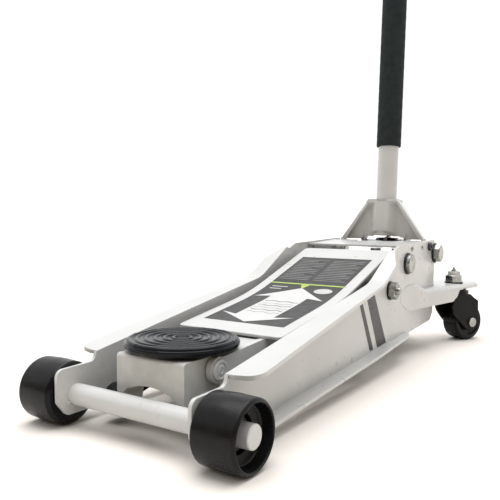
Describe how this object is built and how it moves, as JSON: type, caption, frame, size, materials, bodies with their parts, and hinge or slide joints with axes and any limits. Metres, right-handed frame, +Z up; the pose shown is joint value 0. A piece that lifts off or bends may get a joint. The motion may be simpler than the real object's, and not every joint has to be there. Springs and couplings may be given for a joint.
{
  "type": "hydraulic floor jack",
  "caption": "Low-profile wheeled hydraulic floor jack with a pivoting lift arm, swivel saddle pad, twin pump plungers, swivel rear casters and an upright padded pump handle.",
  "frame": {"origin": "on the floor under the centre of the whole object's box", "axes": "+X across the jack to its right side, +Y towards the handle end, -Y towards the saddle end, +Z up"},
  "size_m": [0.2956, 0.8252, 1.1967],
  "materials": {
    "white_paint": "semi-gloss powder coat",
    "cast_grey_paint": "satin paint over a cast texture",
    "black_paint": "satin black",
    "saddle_rubber": "moulded, slightly glossy",
    "grip_rubber": "matte",
    "foam": "matte closed-cell foam",
    "black_nylon": "satin moulded",
    "zinc_plate": "bright zinc plate",
    "black_oxide": "black oxide",
    "ground_steel": "ground",
    "chrome": "polished",
    "spring_steel": "drawn wire",
    "cast_iron": "black paint over a casting"
  },
  "bodies": {
    "frame": {"side_plate_left": "white_paint", "side_plate_right": "white_paint", "front_axle": "white_paint", "retaining_rings": "black_oxide", "cross_member": "white_paint", "base_plate": "white_paint", "pump_mount_bolts": "zinc_plate", "rear_cover": "white_paint", "cover_rivets": "zinc_plate", "cover_screws": "black_oxide", "arm_shaft": "ground_steel", "arm_shaft_caps": "zinc_plate", "pivot_bolts": "zinc_plate", "link_pivot_nuts": "zinc_plate", "flat_washers": "black_paint", "pivot_spacers": "white_paint", "caster_brackets": "white_paint", "caster_races": "black_paint", "caster_studs": "zinc_plate", "caster_stud_nuts": "zinc_plate", "grease_nipples": "zinc_plate", "pump_block": "cast_iron", "ram_cylinder": "ground_steel", "oil_reservoir": "black_paint", "gland_nut": "ground_steel", "hydraulic_plugs": "zinc_plate", "pump_springs": "spring_steel", "return_springs": "spring_steel"},
    "lift_arm": {"arm_cover": "white_paint", "arm_sides": "white_paint", "arm_cross_plates": "white_paint", "arm_lever": "white_paint", "lever_pin": "ground_steel", "saddle_pivot_pins": "white_paint"},
    "saddle_carrier": {"saddle_block": "cast_grey_paint", "link_front_pins": "zinc_plate"},
    "saddle": {"saddle_dish": "black_paint", "saddle_circlip": "black_oxide", "saddle_pad": "saddle_rubber"},
    "links": {"levelling_links": "black_paint"},
    "ram": {"ram_rod": "chrome", "ram_piston": "ground_steel"},
    "yoke": {"handle_yoke": "white_paint", "roller_pin": "zinc_plate"},
    "rollers": {"pump_rollers": "chrome"},
    "handle": {"handle_lower_tube": "white_paint", "foam_sleeve": "foam", "handle_upper_tube": "black_paint", "hand_grip": "grip_rubber", "handle_plugs": "black_nylon"},
    "release_valve": {"release_valve_stem": "ground_steel"},
    "plungers": {"pump_plungers": "chrome"},
    "front_roll_left": {"front_wheel_left": "black_nylon"},
    "front_roll_right": {"front_wheel_right": "black_nylon"},
    "caster_left": {"caster_fork_left": "black_paint", "caster_axle_left": "zinc_plate"},
    "caster_right": {"caster_fork_right": "black_paint", "caster_axle_right": "zinc_plate"},
    "caster_roll_left": {"caster_wheel_left": "black_nylon"},
    "caster_roll_right": {"caster_wheel_right": "black_nylon"}
  },
  "joints": [
    {"name": "lift", "type": "hinge", "parent": "frame", "child": "lift_arm", "pos_m": [0, 0.13443, 0.151], "axis": [-1, 0, 0], "range_deg": [0, 50], "deforming": ["return_springs"]},
    {"name": "saddle_level", "type": "hinge", "parent": "lift_arm", "child": "saddle_carrier", "pos_m": [0, -0.31157, 0.068], "axis": [1, 0, 0], "range_deg": [0, 50]},
    {"name": "saddle_swivel", "type": "hinge", "parent": "saddle_carrier", "child": "saddle", "pos_m": [0, -0.30487, 0.085], "axis": [0, 0, 1], "continuous": true},
    {"name": "link_swing", "type": "hinge", "parent": "frame", "child": "links", "pos_m": [0, 0.06243, 0.1155], "axis": [-1, 0, 0], "range_deg": [0, 55.2]},
    {"name": "ram_slide", "type": "slide", "parent": "frame", "child": "ram", "axis": [0, -1, 0], "range_m": [0, 0.056]},
    {"name": "handle_tilt", "type": "hinge", "parent": "frame", "child": "yoke", "pos_m": [0, 0.26243, 0.1615], "axis": [-1, 0, 0], "range_deg": [0, 70], "deforming": ["pump_springs"]},
    {"name": "roller_spin", "type": "hinge", "parent": "yoke", "child": "rollers", "pos_m": [0, 0.28043, 0.1765], "axis": [1, 0, 0], "continuous": true},
    {"name": "handle_twist", "type": "hinge", "parent": "yoke", "child": "handle", "pos_m": [0, 0.27743, 0.258], "axis": [0, 0.0729, 0.9973], "range_deg": [0, 180]},
    {"name": "release_turn", "type": "hinge", "parent": "frame", "child": "release_valve", "pos_m": [0, 0.30043, 0.11], "axis": [0, 0, 1], "range_deg": [0, 180]},
    {"name": "pump_stroke", "type": "slide", "parent": "frame", "child": "plungers", "axis": [0, 0, -1], "range_m": [0, 0.027]},
    {"name": "front_spin_left", "type": "hinge", "parent": "frame", "child": "front_roll_left", "pos_m": [-0.1193, -0.37757, 0.035], "axis": [1, 0, 0], "continuous": true},
    {"name": "front_spin_right", "type": "hinge", "parent": "frame", "child": "front_roll_right", "pos_m": [0.1193, -0.37757, 0.035], "axis": [1, 0, 0], "continuous": true},
    {"name": "caster_swivel_left", "type": "hinge", "parent": "frame", "child": "caster_left", "pos_m": [-0.109, 0.33193, 0.084], "axis": [0, 0, 1], "continuous": true},
    {"name": "caster_swivel_right", "type": "hinge", "parent": "frame", "child": "caster_right", "pos_m": [0.109, 0.33193, 0.084], "axis": [0, 0, 1], "continuous": true},
    {"name": "caster_spin_left", "type": "hinge", "parent": "caster_left", "child": "caster_roll_left", "pos_m": [-0.11951, 0.35273, 0.033], "axis": [0.8926, 0.4509, 0], "continuous": true},
    {"name": "caster_spin_right", "type": "hinge", "parent": "caster_right", "child": "caster_roll_right", "pos_m": [0.11951, 0.35273, 0.033], "axis": [0.8926, -0.4509, 0], "continuous": true}
  ],
  "couplings": [
    {"joint": "saddle_level", "follows": "lift", "ratio": 1},
    {"joint": "link_swing", "follows": "lift", "ratio": 1.102},
    {"joint": "ram_slide", "follows": "lift", "m_per_rad": 0.0639},
    {"joint": "pump_stroke", "follows": "handle_tilt", "m_per_rad": 0.0218},
    {"joint": "release_turn", "follows": "handle_twist", "ratio": 1}
  ]
}
